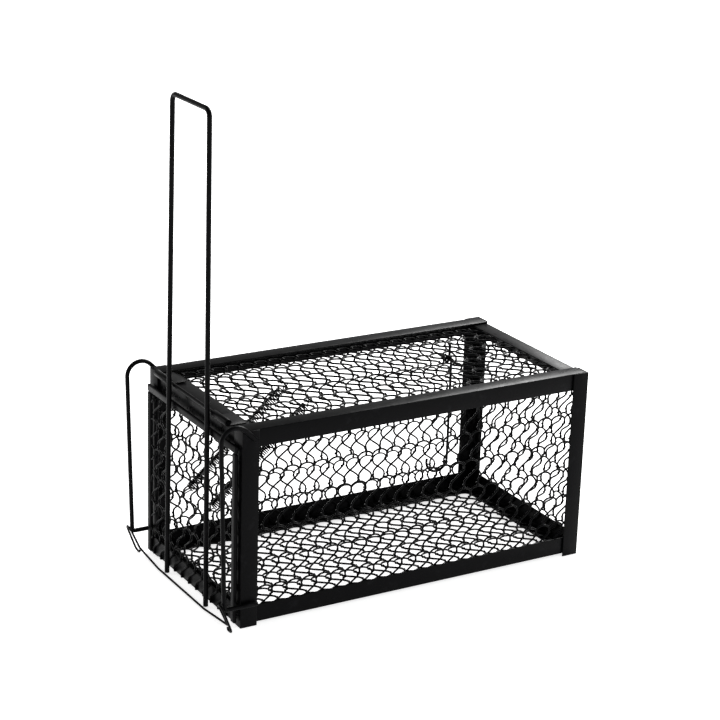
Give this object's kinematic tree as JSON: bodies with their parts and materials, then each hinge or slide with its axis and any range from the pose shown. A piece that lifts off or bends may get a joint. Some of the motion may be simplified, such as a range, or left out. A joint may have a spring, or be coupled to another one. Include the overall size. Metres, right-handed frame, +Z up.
{
  "type": "live catch cage trap",
  "caption": "Wire-netting cage trap in an angle-strip frame, with a sprung top-hinged door, tall setting loop, bait hook trigger and a drop-down lock bail.",
  "frame": {"origin": "on the ground, under the middle of the whole object, bows and bail included", "axes": "+Z up along the tall setting loop, -Y out of the door end, +X to the right seen from the door"},
  "size_m": [0.1482, 0.2823, 0.3334],
  "materials": {
    "painted_sheet": "black baked enamel on folded steel strip, semi-gloss",
    "painted_wire": "black enamel on drawn steel wire, glossy",
    "painted_netting": "black enamel on hexagonal wire netting, glossy, thick in the twists"
  },
  "bodies": {
    "cage": {"front_left_post": "painted_sheet", "front_right_post": "painted_sheet", "rear_left_post": "painted_sheet", "rear_right_post": "painted_sheet", "top_left_rail": "painted_sheet", "top_right_rail": "painted_sheet", "bottom_left_rail": "painted_sheet", "bottom_right_rail": "painted_sheet", "top_front_rail": "painted_sheet", "top_rear_rail": "painted_sheet", "bottom_front_rail": "painted_sheet", "bottom_rear_rail": "painted_sheet", "top_net": "painted_netting", "floor_net": "painted_netting", "left_net": "painted_netting", "right_net": "painted_netting", "rear_net": "painted_netting", "left_hinge_strap": "painted_sheet", "right_hinge_strap": "painted_sheet", "left_guide_bow": "painted_wire", "right_guide_bow": "painted_wire", "trigger_pivot_pin": "painted_wire"},
    "door": {"hinge_rod": "painted_wire", "setting_loop": "painted_wire", "door_top_strip": "painted_sheet", "door_left_strip": "painted_sheet", "door_right_strip": "painted_sheet", "door_bottom_strip": "painted_sheet", "door_net": "painted_netting"},
    "lock_bail": {"lock_bail": "painted_wire"},
    "bait_hook": {"bait_hook": "painted_wire"},
    "left_spring_upper": {"left_spring_top_hook": "painted_wire", "left_spring_coil": "painted_wire"},
    "left_spring_lower": {"left_spring_bottom_hook": "painted_wire"},
    "right_spring_upper": {"right_spring_top_hook": "painted_wire", "right_spring_coil": "painted_wire"},
    "right_spring_lower": {"right_spring_bottom_hook": "painted_wire"}
  },
  "joints": [
    {"name": "door_hinge", "type": "hinge", "parent": "cage", "child": "door", "pos_m": [0, -0.126, 0.13635], "axis": [-1, 0, 0], "range_deg": [0, 90], "stiffness_Nm_per_rad": 0.12, "springref_deg": -34.38},
    {"name": "bail_lift", "type": "slide", "parent": "cage", "child": "lock_bail", "axis": [0, -0.0276, 0.9996], "range_m": [0, 0.1]},
    {"name": "bait_hook_swing", "type": "hinge", "parent": "cage", "child": "bait_hook", "pos_m": [0, 0.0709, 0.1335], "axis": [1, 0, 0], "range_deg": [-15, 8]},
    {"name": "left_spring_swing", "type": "hinge", "parent": "cage", "child": "left_spring_upper", "pos_m": [-0.017, -0.0462, 0.1283], "axis": [-1, 0, 0], "range_deg": [0, 43.75], "deforming": ["left_spring_coil"]},
    {"name": "left_spring_stretch", "type": "slide", "parent": "left_spring_upper", "child": "left_spring_lower", "axis": [0, -0.7523, -0.6589], "range_m": [0, 0.05248], "deforming": ["left_spring_coil"]},
    {"name": "right_spring_swing", "type": "hinge", "parent": "cage", "child": "right_spring_upper", "pos_m": [0.017, -0.0462, 0.1283], "axis": [-1, 0, 0], "range_deg": [0, 43.75], "deforming": ["right_spring_coil"]},
    {"name": "right_spring_stretch", "type": "slide", "parent": "right_spring_upper", "child": "right_spring_lower", "axis": [0, -0.7523, -0.6589], "range_m": [0, 0.05248], "deforming": ["right_spring_coil"]}
  ],
  "couplings": [
    {"joint": "left_spring_swing", "follows": "door_hinge", "ratio": 0.48555},
    {"joint": "left_spring_stretch", "follows": "door_hinge", "m_per_rad": 0.033345},
    {"joint": "right_spring_swing", "follows": "door_hinge", "ratio": 0.48555},
    {"joint": "right_spring_stretch", "follows": "door_hinge", "m_per_rad": 0.033345}
  ]
}
